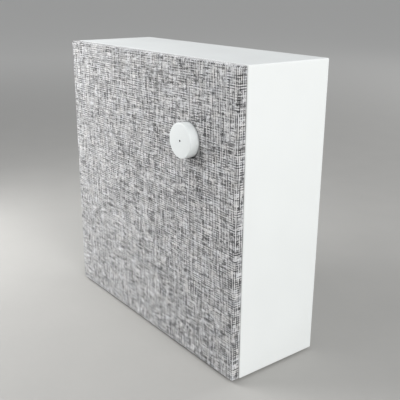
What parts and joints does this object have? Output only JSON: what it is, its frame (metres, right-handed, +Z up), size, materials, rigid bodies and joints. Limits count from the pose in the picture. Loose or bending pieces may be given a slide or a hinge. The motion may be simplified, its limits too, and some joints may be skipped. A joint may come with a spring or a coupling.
{
  "type": "bluetooth speaker",
  "caption": "Square white bookshelf speaker with a grey cloth front that pulls off, one press-and-turn knob, and a woofer, tweeter, rear port and connectors inside.",
  "frame": {"origin": "middle of the whole box's footprint, level with the soles of the feet", "axes": "+X to the right seen from the front, the cloth front faces -Y, +Z up"},
  "size_m": [0.2, 0.078, 0.2015],
  "materials": {
    "cabinet_white": "fine matt moulding",
    "knob_white": "smooth satin",
    "grille_cloth": "grey melange plain weave",
    "grille_black": "moulded matt",
    "baffle_black": "moulded matt",
    "foot_rubber": "matt",
    "seal_foam": "closed-cell foam",
    "screw_steel": "blackened",
    "cone_paper": "pressed pulp",
    "dust_cap_paper": "coated",
    "surround_rubber": "matt",
    "spider_cloth": "treated cotton",
    "coil_copper": "wound wire",
    "basket_steel": "black powder coat",
    "plated_steel": "zinc plated",
    "ferrite": "ground",
    "tweeter_black": "satin",
    "dome_silk": "coated silk",
    "light_pipe": "smoked clear",
    "lamp": "clear",
    "encoder_metal": "plated",
    "plain_plastic": "moulded",
    "board_green": "solder mask",
    "shield_tin": "tinned",
    "heatsink_aluminium": "extruded",
    "can_sleeve": "shrink sleeve",
    "transformer": "taped winding",
    "pin_brass": "bright",
    "lead_jacket": "soft extruded"
  },
  "bodies": {
    "cabinet": {"amplifier_heatsink": "heatsink_aluminium", "aux_jack": "plain_plastic", "baffle_screws": "screw_steel", "baffle_seal": "seal_foam", "bluetooth_module": "shield_tin", "board_screws": "screw_steel", "bulk_capacitor": "can_sleeve", "cabinet_shell": "cabinet_white", "connector_tray": "cabinet_white", "control_board": "board_green", "control_lead": "lead_jacket", "control_screws": "screw_steel", "encoder_base": "plain_plastic", "encoder_case": "encoder_metal", "foot_front_left": "foot_rubber", "foot_front_right": "foot_rubber", "foot_rear_left": "foot_rubber", "foot_rear_right": "foot_rubber", "front_baffle": "baffle_black", "indicator_led": "lamp", "inlet_pins": "pin_brass", "main_board": "board_green", "mains_inlet": "plain_plastic", "mains_leads": "lead_jacket", "output_capacitors": "can_sleeve", "peg_cups": "seal_foam", "port_tube": "cabinet_white", "power_board": "board_green", "rear_panel": "cabinet_white", "rear_screws": "screw_steel", "rear_seal": "seal_foam", "transformer": "transformer", "tray_screws": "screw_steel", "tweeter_coil": "coil_copper", "tweeter_cup": "plated_steel", "tweeter_dome": "dome_silk", "tweeter_leads": "lead_jacket", "tweeter_magnet": "ferrite", "tweeter_plate": "tweeter_black", "tweeter_pole": "plated_steel", "tweeter_screws": "screw_steel", "woofer_basket": "basket_steel", "woofer_leads": "lead_jacket", "woofer_magnet": "ferrite", "woofer_screws": "screw_steel", "woofer_spider": "spider_cloth", "woofer_surround": "surround_rubber", "woofer_terminal": "plain_plastic", "woofer_top_plate": "plated_steel", "woofer_trim": "seal_foam", "woofer_yoke": "plated_steel"},
    "grille": {"grille_frame": "grille_black", "grille_cloth": "grille_cloth"},
    "plunger": {"switch_plunger": "plain_plastic"},
    "knob": {"knob": "knob_white", "light_pipe": "light_pipe", "encoder_shaft": "encoder_metal"},
    "cone": {"woofer_cone": "cone_paper", "woofer_dust_cap": "dust_cap_paper", "woofer_coil": "coil_copper"}
  },
  "joints": [
    {"name": "front_pull", "type": "slide", "parent": "cabinet", "child": "grille", "axis": [0, -1, 0], "range_m": [0, 0.025]},
    {"name": "knob_press", "type": "slide", "parent": "cabinet", "child": "plunger", "axis": [0, 1, 0], "range_m": [0, 0.0006], "stiffness_N_per_m": 4000},
    {"name": "knob_turn", "type": "hinge", "parent": "plunger", "child": "knob", "pos_m": [0.052, -0.033, 0.1515], "axis": [0, -1, 0], "continuous": true},
    {"name": "woofer_stroke", "type": "slide", "parent": "cabinet", "child": "cone", "axis": [0, -1, 0], "range_m": [-0.0025, 0.0025], "stiffness_N_per_m": 1400, "deforming": ["woofer_surround", "woofer_spider"]}
  ]
}
